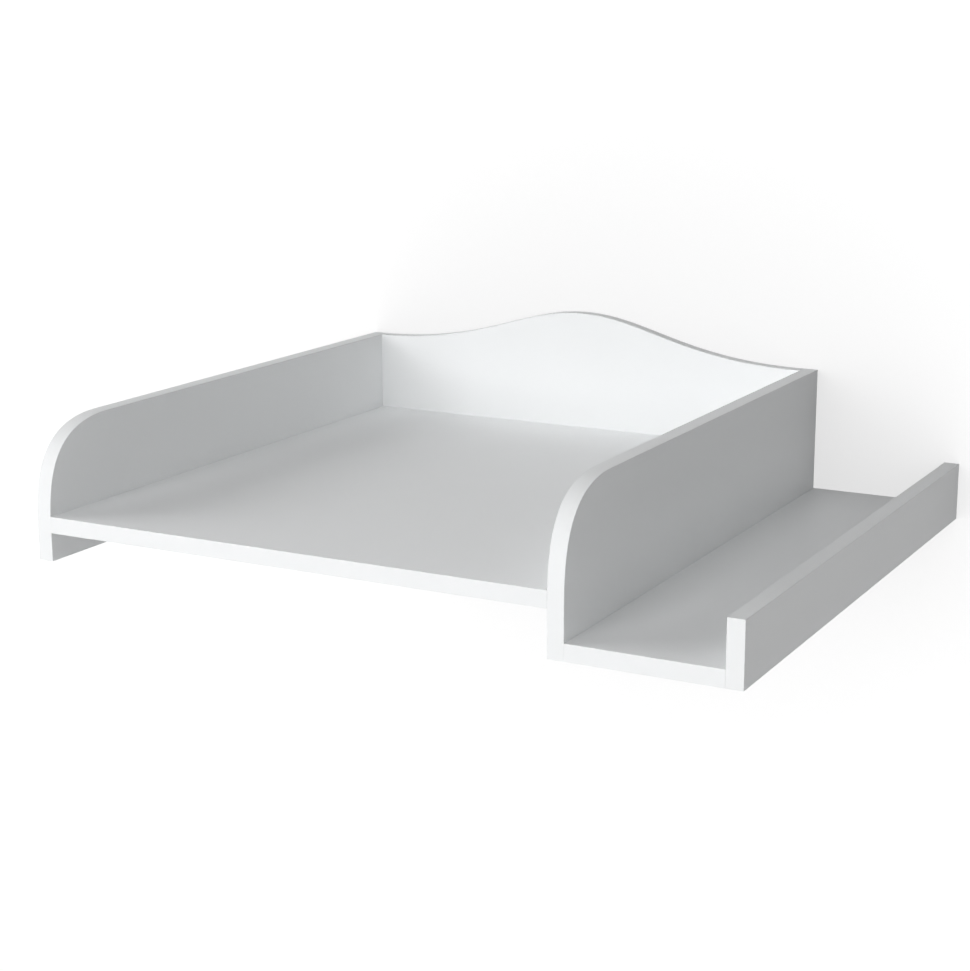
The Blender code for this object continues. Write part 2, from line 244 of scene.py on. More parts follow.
def board(name, outline, across, start, end):
    """A plate between two values of one axis, with a hairline chamfer all round both faces."""
    small = inset(outline, HAIRLINE)
    values = [start, start + HAIRLINE, end - HAIRLINE, end]
    return solid(name, body(spread([small, outline, outline, small], across, values)))


def rectangle(left, bottom, right, top):
    """Four corners, counter-clockwise from the lower left."""
    return np.array([(left, bottom), (right, bottom), (right, top), (left, top)])


print("a 1 m square, inset by 0.1 m:", inset(rectangle(0.0, 0.0, 1.0, 1.0), 0.1).round(3).tolist())

# %% The six boards
def side_outline(foot):
    """The whole outline of a side panel without its bands."""
    edge, _ = panel_edge(foot)
    return inset(np.concatenate([edge, [(REAR, foot)]]), BAND + SNUG)


def back_outline():
    """The back panel's outline: bands above and below, and its ends against the side panels."""
    edge, facing = crest_edge()
    crest = edge - facing * (BAND + SNUG)
    crest[[0, -1], 0] += np.array([SNUG, -SNUG])
    bottom = UNDERSIDE + BAND + SNUG
    return np.concatenate([crest, [(crest[-1, 0], bottom), (crest[0, 0], bottom)]])


sawn_front = FRONT + BAND + SNUG
sawn_rear = REAR - BAND - SNUG
platform_outline = rectangle(LEFT_IN + SNUG, sawn_front, RIGHT_IN - SNUG, BACK_FRONT - SNUG)
floor_outline = rectangle(RIGHT_OUT + SNUG, sawn_front, RAIL_IN - SNUG, sawn_rear)
rail_outline = inset(rectangle(FRONT, TRAY_UNDERSIDE, REAR, TOP), BAND + SNUG)

boards = {
    "left_side_panel": board("left_side", side_outline(LEFT_FOOT), X, LEFT_OUT, LEFT_IN),
    "right_side_panel": board("right_side", side_outline(RIGHT_FOOT), X, RIGHT_IN, RIGHT_OUT),
    "changing_platform": board("platform", platform_outline, Z, UNDERSIDE, TOP),
    "back_panel": board("back", back_outline(), Y, BACK_FRONT, REAR),
    "tray_floor": board("tray_bottom", floor_outline, Z, TRAY_UNDERSIDE, TRAY_TOP),
    "tray_rail": board("rail", rail_outline, X, RAIL_IN, RAIL_OUT),
}
print({name: len(piece.data.polygons) for name, piece in boards.items()})

# %% [markdown]
# ## Edge bands
#
# A band is a strip of plastic a millimetre thick, glued to the sawn side and trimmed with a small radius.
# That radius is what makes the edges of such furniture catch a thin line of light. A Bevel modifier would
# round the joints between bands as well. So the strip's section is a ring with two round corners, and it
# is carried along the edge with the edge's own outward direction. A band's free end is rounded too: near
# it, the section gets lower like a quarter circle.

# %% Section and path to band
def band_section(width):
    """Points across and outwards: square inside, and rounded outside with a quarter circle at each side."""
    turn = np.linspace(0, math.pi / 2, ROUND_STEPS)
    across = np.concatenate([[0], BAND_RADIUS * (1 - np.cos(turn)), [BAND_RADIUS + BAND_SUPPORT]])
    out = np.concatenate([[0], BAND - BAND_RADIUS * (1 - np.sin(turn)), [BAND]])
    return np.concatenate([across, width - across[::-1]]), np.concatenate([out, out[::-1]])


def round_end(points, facing, lift):
    """Adds rows at the first end, where the height falls as r - sqrt(r² - (r - s)²) over the distance s."""
    turn = np.linspace(0, math.pi / 2, ROUND_STEPS)[:-1]
    distance = BAND_RADIUS * (1 - np.cos(turn))
    drop = BAND_RADIUS * (1 - np.sin(turn))
    along = points[1] - points[0]
    along = along / np.linalg.norm(along)
    start = BAND_RADIUS + BAND_SUPPORT
    added = points[0] + np.append(distance, [BAND_RADIUS, start])[:, None] * along
    points = np.concatenate([added, points[1:]])
    facing = np.concatenate([np.repeat(facing[:1], len(added), axis=0), facing[1:]])
    lift = np.concatenate([1 - drop / BAND, [1, 1], lift[1:]])
    return points, facing, lift


def band(name, points, facing, across, start, end, free_start=False, free_end=False):
    """The section carried along a flat path: point - facing (band - out * lift), at each value across."""
    points, facing = np.asarray(points, float), np.asarray(facing, float)
    lift = np.ones(len(points))
    if free_start:
        points, facing, lift = round_end(points, facing, lift)
    if free_end:
        points, facing, lift = (rows[::-1] for rows in round_end(points[::-1], facing[::-1], lift[::-1]))
    section_across, section_out = band_section(end - start)
    depth = BAND - section_out[None, :] * lift[:, None]
    rings = np.empty((len(points), len(section_out), 3))
    others = [axis for axis in (X, Y, Z) if axis != across]
    rings[..., others] = points[:, None] - facing[:, None] * depth[..., None]
    rings[..., across] = start + section_across
    return solid(name, body(rings))


print(len(band_section(TOP - UNDERSIDE)[0]), "points round a band's section")

# %% The fifteen bands
PANELS = {
    "left_panel": (LEFT_FOOT, LEFT_OUT, LEFT_IN),
    "right_panel": (RIGHT_FOOT, RIGHT_IN, RIGHT_OUT),
}
bands = {}


def add_band(node, *path_and_width, **free):
    """Makes the band that stands for this node of the frame."""
    bands[node] = band(node.replace("_band", "_edging"), *path_and_width, **free)


def straight(start, end, facing):
    """A path of one straight run that faces the same way at both ends."""
    return np.array([start, end]), np.array([facing, facing])


for stem, (foot, near, far) in PANELS.items():
    add_band(f"{stem}_front_band", *panel_edge(foot), X, near, far, free_start=True, free_end=True)
    rear_run = straight((REAR, foot + BAND + SNUG), (REAR, WALL_TOP - BAND - SNUG), (1, 0))
    add_band(f"{stem}_rear_band", *rear_run, X, near, far)
    bottom_run = straight((FRONT + BAND + SNUG, foot), (REAR, foot), (0, -1))
    add_band(f"{stem}_bottom_band", *bottom_run, X, near, far, free_end=True)

platform_run = straight((LEFT_IN + SNUG, FRONT), (RIGHT_IN - SNUG, FRONT), (0, -1))
add_band("platform_front_band", *platform_run, Z, UNDERSIDE, TOP)
crest_run, crest_facing = crest_edge()
crest_run[[0, -1], 0] += np.array([SNUG, -SNUG])
add_band("back_panel_crest_band", crest_run, crest_facing, Y, BACK_FRONT, REAR)
back_run = straight((LEFT_IN + SNUG, UNDERSIDE), (RIGHT_IN - SNUG, UNDERSIDE), (0, -1))
add_band("back_panel_bottom_band", *back_run, Y, BACK_FRONT, REAR)
for name, end, facing in (("front", FRONT, (0, -1)), ("rear", REAR, (0, 1))):
    floor_run = straight((RIGHT_OUT + SNUG, end), (RAIL_IN - SNUG, end), facing)
    add_band(f"tray_floor_{name}_band", *floor_run, Z, TRAY_UNDERSIDE, TRAY_TOP)
    rail_run = straight((end, TRAY_UNDERSIDE + BAND + SNUG), (end, TOP - BAND - SNUG), (facing[1], 0))
    add_band(f"tray_rail_{name}_band", *rail_run, X, RAIL_IN, RAIL_OUT)
for name, level, facing in (("top", TOP, (0, 1)), ("bottom", TRAY_UNDERSIDE, (0, -1))):
    rail_run = straight((FRONT, level), (REAR, level), facing)
    add_band(f"tray_rail_{name}_band", *rail_run, X, RAIL_IN, RAIL_OUT, free_start=True, free_end=True)
print(len(bands), "bands,", sum(len(piece.data.polygons) for piece in bands.values()), "faces")

# %% [markdown]
# ## Where the fittings lie
#
# A cam fitting is a bolt in one board and a cam in the other, and each pair is in the frame. The bolt's
# longest side is its axis, and it points from its own middle to its cam. The cams show on the underside,
# and for the back panel's ends on the rear face. With these directions a fitting is modelled once, lying
# along X with its slotted face up, and its points are then turned into place.

# %% Directions of each fitting
JOINTS = {
    "platform_left": ("left_side_panel", "changing_platform"),
    "platform_right": ("right_side_panel", "changing_platform"),
    "platform_back": ("back_panel", "changing_platform"),
    "tray_inner": ("right_side_panel", "tray_floor"),
    "tray_outer": ("tray_rail", "tray_floor"),
    "back_end_left": ("left_side_panel", "back_panel"),
    "back_end_right": ("right_side_panel", "back_panel"),
}
THREAD_LENGTH = 0.011
THREAD_RADIUS = 0.003


def joint_of(node):
    """The board whose face takes the bolt or dowel, and the board that ends there."""
    kind = next(word for word in ("_bolt_", "_cam_", "_dowel_") if word in node)
    joint, label = node.split(kind)
    return JOINTS.get(joint) or JOINTS[f"{joint}_{label}"]


def placement(bolt):
    """A turn and an origin for a fitting: X along the bolt into the end board, Z out of the cam's face."""
    cam = bolt.replace("_bolt_", "_cam_")
    middle = (low[bolt] + high[bolt]) / 2
    axis = np.argmax(high[bolt] - low[bolt])
    along = np.zeros(3)
    along[axis] = np.sign((low[cam] + high[cam])[axis] / 2 - middle[axis])
    out = np.array((0, 1, 0) if bolt.startswith("back_end") else (0, 0, -1))
    origin = middle.copy()
    thread_end = low[bolt][axis] if along[axis] > 0 else high[bolt][axis]
    origin[axis] = thread_end + along[axis] * THREAD_LENGTH
    return np.array([along, np.cross(out, along), out]), origin


def placed(rings, turn, origin):
    """Points given along X, across and out, turned and moved to where the fitting lies."""
    return rings @ turn + origin


bolts = sorted(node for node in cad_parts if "_bolt_" in node)
dowels = sorted(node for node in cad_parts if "_dowel_" in node)
places = {bolt: placement(bolt) for bolt in bolts}
print(len(bolts), "cam fittings and", len(dowels), "dowels")

# %% [markdown]
# ## Bores
#
# Drilled holes are cut with a Boolean, because a hole's rim in a large flat face is easier to cut than to
# mesh by hand. The drills are rods from the same ring function. The result is read back as a plain mesh
# and the drills are deleted, so no board depends on a hidden object afterwards. Where cuts meet, a Boolean
# can leave points that nearly coincide, so those are welded.

# %% Where to drill
FIT_GAP = 0.0003
END_ROOM = 0.001
OVERRUN = 0.002
WELD = 0.000005
CAM_SIDES = 64
DRILL_SIDES = 32
drills = defaultdict(list)


def rod(start, end, radius, sides):
    """A cylinder along X between two values: (x, r cos a, r sin a)."""
    angle = np.linspace(0, math.tau, sides, endpoint=False)
    circle = np.stack([np.zeros(sides), radius * np.cos(angle), radius * np.sin(angle)], axis=1)
    return circle + np.array([(start, 0, 0), (end, 0, 0)])[:, None]


def add_drills():
    """The holes that each fitting needs: bolt, head and cam bores, and a pair of holes for each dowel."""
    for bolt, (turn, origin) in places.items():
        face_board, end_board = joint_of(bolt)
        cam = bolt.replace("_bolt_", "_cam_")
        cam_middle = (low[cam] + high[cam]) / 2
        reach = (cam_middle - origin) @ turn[0]
        cam_radius = np.median(high[cam] - low[cam]) / 2 + FIT_GAP
        bolt_radius = np.median(high[bolt] - low[bolt]) / 2 + FIT_GAP
        deep = (low[cam] @ turn[2], high[cam] @ turn[2])
        inner, outer = min(deep) - FIT_GAP - origin @ turn[2], max(deep) + OVERRUN - origin @ turn[2]
        upright = rod(inner, outer, cam_radius, CAM_SIDES)[..., [2, 1, 0]] + np.array([reach, 0, 0])
        thread_hole = rod(-THREAD_LENGTH - END_ROOM, OVERRUN, THREAD_RADIUS + FIT_GAP, DRILL_SIDES)
        shank_hole = rod(-OVERRUN, reach, bolt_radius, DRILL_SIDES)
        drills[face_board].append(body(placed(thread_hole, turn, origin)))
        drills[end_board] += [body(placed(hole, turn, origin)) for hole in (shank_hole, upright)]
    for dowel in dowels:
        size = high[dowel] - low[dowel]
        axis = int(np.argmax(size))
        half = size[axis] / 2 + END_ROOM
        turn = np.roll(np.eye(3), axis, axis=1)
        hole = rod(-half, half, np.median(size) / 2 + FIT_GAP, DRILL_SIDES)
        for piece in joint_of(dowel):
            drills[piece].append(body(placed(hole, turn, (low[dowel] + high[dowel]) / 2)))


add_drills()
print({node: len(drills[node]) for node in boards}, "drillings")

# %% Drill the boards
def carve(piece, tool):
    """Cuts the tool out of the piece for good, welds points that nearly coincide, and deletes the tool."""
    subtract = piece.modifiers.new("carve", "BOOLEAN")
    subtract.operation = "DIFFERENCE"
    subtract.solver = "EXACT"
    subtract.use_self = True
    subtract.object = tool
    graph = bpy.context.evaluated_depsgraph_get()
    carved = bpy.data.meshes.new_from_object(piece.evaluated_get(graph))
    piece.modifiers.clear()
    shape = bmesh.new()
    shape.from_mesh(carved)
    bmesh.ops.remove_doubles(shape, verts=shape.verts, dist=WELD)
    bmesh.ops.dissolve_degenerate(shape, edges=shape.edges, dist=WELD)
    shape.to_mesh(carved)
    shape.free()
    carved.set_sharp_from_angle(angle=ROUND_UP_TO)
    whole, piece.data, cutter = piece.data, carved, tool.data
    bpy.data.objects.remove(tool)
    bpy.data.meshes.remove(whole)
    bpy.data.meshes.remove(cutter)


for node, piece in boards.items():
    carve(piece, solid(node + "_drills", *drills[node]))
print({node: len(piece.data.polygons) for node, piece in boards.items()}, "faces")

# %% [markdown]
# ## Cams
#
# The cams are the only metal that shows, on the underside and behind. A real one is a die-cast zinc drum:
# a chamfered rim, a shallow dish and a cross recess for the screwdriver. Inside it is a pocket for the
# bolt's head, with a tall window where the head comes in and a low slot that the neck slides along. The
# drum is a turned profile, and everything that is missing from it is cut out at once.

# %% Sizes of a cam
CAM_WALL = 0.0018
CAM_CHAMFER = 0.0005
DISH_RADIUS_SHARE = 0.82
DISH_DEPTH = 0.0004
CROSS_LENGTH = 0.0074
CROSS_WIDTH = 0.0013
CROSS_DEPTH = 0.0021
CROSS_TAPER = 0.00035
HEAD_ROOM = 0.0035
NECK_ROOM = 0.0020
MARK_SIZE = 0.0011
print("cross recess", CROSS_LENGTH, "long and", CROSS_DEPTH, "deep")


# %% Profiles and outlines
def turned(profile, sides):
    """Rings round Z from pairs of radius and height: (r cos a, r sin a, z)."""
    angle = np.linspace(0, math.tau, sides, endpoint=False)
    radius, height = np.array(profile).T
    rings = np.empty((len(radius), sides, 3))
    rings[..., X] = radius[:, None] * np.cos(angle)
    rings[..., Y] = radius[:, None] * np.sin(angle)
    rings[..., Z] = height[:, None]
    return rings


def cross_outline(length, width):
    """Twelve corners of a plus sign: eight corners of its arms and four where they meet."""
    a, b = length / 2, width / 2
    arm = np.array([(a, -b), (a, b), (b, b)])
    quarter = np.array([(0, 1), (-1, 0)])
    return np.concatenate([arm @ np.linalg.matrix_power(quarter, turn) for turn in range(4)])


def slab(low_corner, high_corner):
    """A plain block between two opposite corners."""
    outline = rectangle(low_corner[0], low_corner[1], high_corner[0], high_corner[1])
    return spread(outline, Z, [low_corner[2], high_corner[2]])


print(len(cross_outline(CROSS_LENGTH, CROSS_WIDTH)), "corners round the recess")


# %% A cam from rings and cutters
def cam_rings(radius, floor, face):
    """The drum: chamfered below, and above a chamfered rim round a shallow dish."""
    dish = radius * DISH_RADIUS_SHARE
    profile = [
        (radius - CAM_CHAMFER, floor),
        (radius, floor + CAM_CHAMFER),
        (radius, face - CAM_CHAMFER / 2),
        (radius - CAM_CHAMFER / 2, face),
        (dish, face),
        (dish - DISH_DEPTH, face - DISH_DEPTH),
        (dish / 2, face - DISH_DEPTH),
    ]
    return turned(profile, CAM_SIDES)


def cam_cutters(radius, face):
    """The cross recess, an arrow mark in the dish, the pocket, the window and the neck's slot."""
    outside = radius + OVERRUN
    top = face + OVERRUN
    floor = face - CROSS_DEPTH
    wide = cross_outline(CROSS_LENGTH, CROSS_WIDTH)
    narrow = cross_outline(CROSS_LENGTH - 2 * CROSS_TAPER, CROSS_WIDTH - 2 * CROSS_TAPER)
    steep = cross_outline(CROSS_LENGTH + CROSS_TAPER, CROSS_WIDTH + CROSS_TAPER)
    tip = -radius * DISH_RADIUS_SHARE + MARK_SIZE
    arrow = np.array([(tip, 0), (tip + MARK_SIZE, -MARK_SIZE / 2), (tip + MARK_SIZE, MARK_SIZE / 2)])
    mark_floor = face - 2 * DISH_DEPTH
    return [
        body(spread([narrow, wide, steep], Z, [floor, face - DISH_DEPTH, top])),
        body(spread([arrow, arrow], Z, [mark_floor, top])),
        body(turned([(radius - CAM_WALL, -HEAD_ROOM), (radius - CAM_WALL, HEAD_ROOM)], CAM_SIDES)),
        body(slab((-HEAD_ROOM, 0, -HEAD_ROOM), (HEAD_ROOM, outside, HEAD_ROOM))),
        body(slab((-outside, -NECK_ROOM, -NECK_ROOM), (0, outside, NECK_ROOM))),
    ]


def make_cam(bolt):
    """The cam of this bolt, modelled at the origin and then turned into its bore."""
    turn, origin = places[bolt]
    cam = bolt.replace("_bolt_", "_cam_")
    middle = (low[cam] + high[cam]) / 2
    reach = (middle - origin) @ turn[0]
    heights = sorted(((low[cam] - origin) @ turn[2], (high[cam] - origin) @ turn[2]))
    radius = np.median(high[cam] - low[cam]) / 2
    piece = solid(cam.replace("_cam_", "_drum_"), body(cam_rings(radius, *heights)))
    carve(piece, solid(cam + "_cutters", *cam_cutters(radius, heights[1])))
    points = np.empty(len(piece.data.vertices) * 3)
    piece.data.vertices.foreach_get("co", points)
    points = placed(points.reshape(-1, 3) + np.array([reach, 0, 0]), turn, origin)
    piece.data.vertices.foreach_set("co", points.ravel())
    piece.data.update()
    return piece


cams = {bolt.replace("_bolt_", "_cam_"): make_cam(bolt) for bolt in bolts}
print(len(cams), "cams of", len(next(iter(cams.values())).data.polygons), "faces")

# %% [markdown]
# ## Bolts
#
# A bolt can't be seen once the topper is together, but the part can be taken apart. Its screw thread is
# a surface of two parameters, the place along the bolt and the angle round it: the radius falls from the
# crest to the root and back once per pitch, and the angle shifts that pattern so that it climbs. A Screw
# modifier would wind a thread too, but this way thread, shank and head are one closed surface.

# %% Sizes of a bolt
PITCH = 0.0018
THREAD_DEPTH = 0.0006
STEPS_PER_PITCH = 8
BOLT_SIDES = 32
BOLT_RADIUS = 0.0025
COLLAR_RADIUS = 0.0036
COLLAR_LENGTH = 0.0015
NECK_RADIUS = 0.0017
HEAD_LENGTH = 0.0045
HEAD_RADIUS = 0.0032
BOLT_CHAMFER = 0.0008
print(round(THREAD_LENGTH / PITCH, 1), "turns of thread")


# %% Threaded bolts
def thread_rings():
    """Radius R - d |2 frac(x / p - a / 2pi) - 1|, less a taper over the first pitch."""
    rows = int(THREAD_LENGTH / PITCH * STEPS_PER_PITCH)
    along = np.linspace(-THREAD_LENGTH, 0, rows + 1)[:, None]
    angle = np.linspace(0, math.tau, BOLT_SIDES, endpoint=False)[None, :]
    turns = along / PITCH - angle / math.tau
    groove = np.abs(2 * (turns - np.floor(turns)) - 1)
    tip = np.clip(1 - (along + THREAD_LENGTH) / PITCH, 0, 1)
    radius = THREAD_RADIUS - THREAD_DEPTH * groove - (BOLT_CHAMFER - THREAD_DEPTH / 2) * tip
    return np.stack([along + 0 * angle, radius * np.cos(angle), radius * np.sin(angle)], axis=-1)


def bolt_rings(length):
    """The thread, then a collar, the shank, the narrow neck and the head that the cam draws on."""
    collar_start = 2 * FIT_GAP
    head_end = length - THREAD_LENGTH
    head_start = head_end - HEAD_LENGTH
    neck_start = head_start - CAM_WALL - BOLT_CHAMFER - FIT_GAP
    plain = [
        (collar_start, THREAD_RADIUS - THREAD_DEPTH / 2),
        (collar_start, COLLAR_RADIUS),
        (collar_start + COLLAR_LENGTH, COLLAR_RADIUS),
        (collar_start + COLLAR_LENGTH, BOLT_RADIUS),
        (neck_start - BOLT_CHAMFER, BOLT_RADIUS),
        (neck_start, NECK_RADIUS),
        (head_start + BOLT_CHAMFER / 2, NECK_RADIUS),
        (head_start + BOLT_CHAMFER + FIT_GAP, HEAD_RADIUS),
        (head_end - BOLT_CHAMFER, HEAD_RADIUS),
        (head_end, HEAD_RADIUS - BOLT_CHAMFER),
    ]
    along, radius = np.array(plain).T
    angle = np.linspace(0, math.tau, BOLT_SIDES, endpoint=False)
    rest = np.empty((len(along), BOLT_SIDES, 3))
    rest[..., X] = along[:, None]
    rest[..., Y] = radius[:, None] * np.cos(angle)
    rest[..., Z] = radius[:, None] * np.sin(angle)
    return np.concatenate([thread_rings(), rest])


def make_bolt(bolt):
    """The bolt that stands for this node, as long as its box."""
    turn, origin = places[bolt]
    rings = bolt_rings((high[bolt] - low[bolt]).max())
    return solid(bolt.replace("_bolt_", "_screw_"), body(placed(rings, turn, origin)))


screws = {bolt: make_bolt(bolt) for bolt in bolts}
print(len(screws), "bolts of", len(next(iter(screws.values())).data.polygons), "faces")

# %% [markdown]
# ## Dowels
#
# Beech dowels have pressed flutes along them, so that glue and air can get past. The radius depends on the
# angle alone, apart from the chamfered ends. The grain runs along the dowel whichever way it lies, so each
# point also keeps its place along the dowel, and the wood's pattern will read that instead of X, Y and Z.

# %% Fluted dowels
FLUTES = 18
FLUTE_DEPTH = 0.00022
DOWEL_CHAMFER = 0.001
STEPS_PER_FLUTE = 4


def make_dowel(node):
    """Radius R - d (0.5 + 0.5 cos(n a)), narrowed at both ends by the chamfer."""
    size = high[node] - low[node]
    axis = int(np.argmax(size))
    half, radius = size[axis] / 2, np.median(size) / 2
    along = np.array([-half, -half + DOWEL_CHAMFER, half - DOWEL_CHAMFER, half])
    narrow = np.array([DOWEL_CHAMFER, 0, 0, DOWEL_CHAMFER])
    angle = np.linspace(0, math.tau, FLUTES * STEPS_PER_FLUTE, endpoint=False)
    fluted = radius - FLUTE_DEPTH * (0.5 + 0.5 * np.cos(FLUTES * angle))
    reach = fluted[None, :] - narrow[:, None]
    rings = np.empty((len(along), len(angle), 3))
    rings[..., X] = along[:, None]
    rings[..., Y] = reach * np.cos(angle)
    rings[..., Z] = reach * np.sin(angle)
    turn = np.roll(np.eye(3), axis, axis=1)
    middle = (low[node] + high[node]) / 2
    piece = solid(node.replace("_dowel_", "_peg_"), body(placed(rings, turn, middle)))
    points = np.empty(len(piece.data.vertices) * 3)
    piece.data.vertices.foreach_get("co", points)
    grain = piece.data.attributes.new("grain", "FLOAT_VECTOR", "POINT")
    grain.data.foreach_set("vector", ((points.reshape(-1, 3) - middle) @ turn.T).ravel())
    return piece


pegs = {node: make_dowel(node) for node in dowels}
print(len(pegs), "dowels of", len(next(iter(pegs.values())).data.polygons), "faces")

# %% [markdown]
# ## Writing shaders as expressions
#
# A finish is a small piece of arithmetic on a noise or a coordinate. Drawn as nodes it is hard to read,
# so a socket is wrapped in a class, and each operator adds the Math node that works it out. One more
# method adds any other node: its settings first, then the values or links of its sockets. A finish is then
# three short functions, and what is the same all over is set on the shader itself.

# %% A socket in expressions
class Socket:
    """An output of a node tree that can be used in sums."""

    def __init__(self, tree, output=None):
        """Without an output it is only a place to start from in a node tree."""
        self.tree = tree
        self.output = output

    def add(self, kind, settings=None, inputs=None, output=0):
        """Adds a node of this kind, sets it up, fills or links its inputs, and wraps one of its outputs."""
        node = self.tree.nodes.new(kind)
        for name, value in (settings or {}).items():
            setattr(node, name, value)
        for name, value in (inputs or {}).items():
            if isinstance(value, Socket):
                self.tree.links.new(value.output, node.inputs[name])
            else:
                node.inputs[name].default_value = value
        return Socket(self.tree, node.outputs[output] if node.outputs else None)

    def math(self, operation, first, second):
        """A Math node on two values."""
        return self.add("ShaderNodeMath", {"operation": operation}, {0: first, 1: second})

    def __add__(self, other):
        """An Add node: self + other."""
        return self.math("ADD", self, other)

    __radd__ = __add__

    def __sub__(self, other):
        """A Subtract node: self - other."""
        return self.math("SUBTRACT", self, other)

    def __rsub__(self, other):
        """A Subtract node: other - self."""
        return self.math("SUBTRACT", other, self)

    def __mul__(self, other):
        """A Multiply node: self * other."""
        return self.math("MULTIPLY", self, other)

    __rmul__ = __mul__

    def noise(self, where, scale, detail=2.0):
        """Noise from 0 to 1 whose patches are about 1 / scale metres wide."""
        return self.add("ShaderNodeTexNoise", None, {"Vector": where, "Scale": scale, "Detail": detail})

    def mix(self, share, first, second):
        """A colour between two colours."""
        return self.add(
            "ShaderNodeMix",
            {"data_type": "RGBA"},
            {"Factor": share, "A": first, "B": second},
            output="Result",
        )


def between(low_end, high_end, share):
    """A value that goes from one end to the other as the share goes from 0 to 1."""
    return low_end + (high_end - low_end) * share


# %% A finish on the Principled shader
def finish(name, colour, roughness, bump=None, where="Object", **constants):
    """A material from functions of the tree and a place, for its colour, roughness and bump."""
    material = bpy.data.materials.new(name)
    material.use_nodes = True
    tree = material.node_tree
    shader = tree.nodes["Principled BSDF"]
    start = Socket(tree)
    if where == "Object":
        place = start.add("ShaderNodeTexCoord", output="Object")
    else:
        place = start.add("ShaderNodeAttribute", {"attribute_name": where}, output="Vector")
    tree.links.new(colour(start, place).output, shader.inputs["Base Color"])
    tree.links.new(roughness(start, place).output, shader.inputs["Roughness"])
    if bump:
        height, distance = bump(start, place)
        relief = start.add("ShaderNodeBump", None, {"Height": height, "Distance": distance})
        tree.links.new(relief.output, shader.inputs["Normal"])
    for socket, value in constants.items():
        shader.inputs[socket.replace("_", " ")].default_value = value
    return material


# %% [markdown]
# ## White coated board
#
# The boards have a printed paper face under melamine resin, satin and pressed with a very fine pearl. The
# white is slightly cool. An image of such a board would show nothing but a faint unevenness, so noise is
# enough. The colour changes by about a hundredth over a hand's width, the resin's sheen a little more, and
# the pearl is a bump of two hundredths of a millimetre. The bands are plastic of nearly the same white.

# %% Board and band finishes
BOARD_WHITE = (0.872, 0.883, 0.888, 1)
BOARD_SHADE = (0.860, 0.872, 0.878, 1)
BAND_WHITE = (0.811, 0.822, 0.827, 1)
BAND_SHADE = (0.801, 0.812, 0.818, 1)
BOARD_ROUGHNESS = (0.44, 0.52)
BAND_ROUGHNESS = (0.44, 0.54)
SATIN_SPECULAR = 0.3
PEARL_HEIGHT = 0.00002
RIPPLE_SHARE = 0.4
BAND_GRAIN_HEIGHT = 0.000015


def pearl(tree, place):
    """Fine pearl and a wider, weaker ripple under it."""
    return tree.noise(place, scale=1100.0) + RIPPLE_SHARE * tree.noise(place, scale=320.0), PEARL_HEIGHT


melamine = finish(
    "white_melamine",
    colour=lambda tree, place: tree.mix(tree.noise(place, scale=9.0), BOARD_WHITE, BOARD_SHADE),
    roughness=lambda tree, place: between(*BOARD_ROUGHNESS, tree.noise(place, scale=24.0)),
    bump=pearl,
    Specular_IOR_Level=SATIN_SPECULAR,
)
edging = finish(
    "white_edging",
    colour=lambda tree, place: tree.mix(tree.noise(place, scale=14.0), BAND_WHITE, BAND_SHADE),
    roughness=lambda tree, place: between(*BAND_ROUGHNESS, tree.noise(place, scale=60.0)),
    bump=lambda tree, place: (tree.noise(place, scale=900.0), BAND_GRAIN_HEIGHT),
    Specular_IOR_Level=SATIN_SPECULAR,
)
print("white boards and bands:", melamine.name, edging.name)

# %% [markdown]
# ## Metal and wood
#
# Die-cast zinc is dull and slightly mottled where it cooled in the mould. The bolts are plated steel,
# smoother and a little warmer. The dowels are bare beech: short darker flecks in a pale wood, drawn out
# along the grain, so the place along the dowel counts for less than the place across it.

# %% Zinc and steel finishes
ZINC_BRIGHT = (0.50, 0.50, 0.51, 1)
ZINC_DULL = (0.40, 0.40, 0.41, 1)
STEEL_BRIGHT = (0.62, 0.60, 0.56, 1)
STEEL_DULL = (0.54, 0.52, 0.48, 1)
ZINC_ROUGHNESS = (0.34, 0.54)
STEEL_ROUGHNESS = (0.24, 0.38)
CASTING_HEIGHT = 0.00003

zinc = finish(
    "cast_zinc",
    colour=lambda tree, place: tree.mix(tree.noise(place, scale=700.0, detail=4.0), ZINC_BRIGHT, ZINC_DULL),
    roughness=lambda tree, place: between(*ZINC_ROUGHNESS, tree.noise(place, scale=900.0)),
    bump=lambda tree, place: (tree.noise(place, scale=2600.0), CASTING_HEIGHT),
    Metallic=1.0,
)
steel = finish(
    "plated_steel",
    colour=lambda tree, place: tree.mix(tree.noise(place, scale=500.0), STEEL_BRIGHT, STEEL_DULL),
    roughness=lambda tree, place: between(*STEEL_ROUGHNESS, tree.noise(place, scale=1200.0)),
    Metallic=1.0,
)
print("metals:", zinc.name, steel.name)

# %% A beech finish along the grain
GRAIN_STRETCH = (0.12, 1.0, 1.0)
BEECH_PALE = (0.56, 0.37, 0.21, 1)
BEECH_FLECK = (0.36, 0.21, 0.11, 1)
BEECH_ROUGHNESS = (0.55, 0.75)
PORE_HEIGHT = 0.00006


def along_grain(tree, place):
    """Noise drawn out along the dowel."""
    stretched = tree.add("ShaderNodeMapping", None, {"Vector": place, "Scale": GRAIN_STRETCH})
    return tree.noise(stretched, scale=1500.0, detail=5.0)


beech = finish(
    "beech",
    colour=lambda tree, place: tree.mix(along_grain(tree, place), BEECH_PALE, BEECH_FLECK),
    roughness=lambda tree, place: between(*BEECH_ROUGHNESS, along_grain(tree, place)),
    bump=lambda tree, place: (along_grain(tree, place), PORE_HEIGHT),
    where="grain",
)
print("wood:", beech.name)
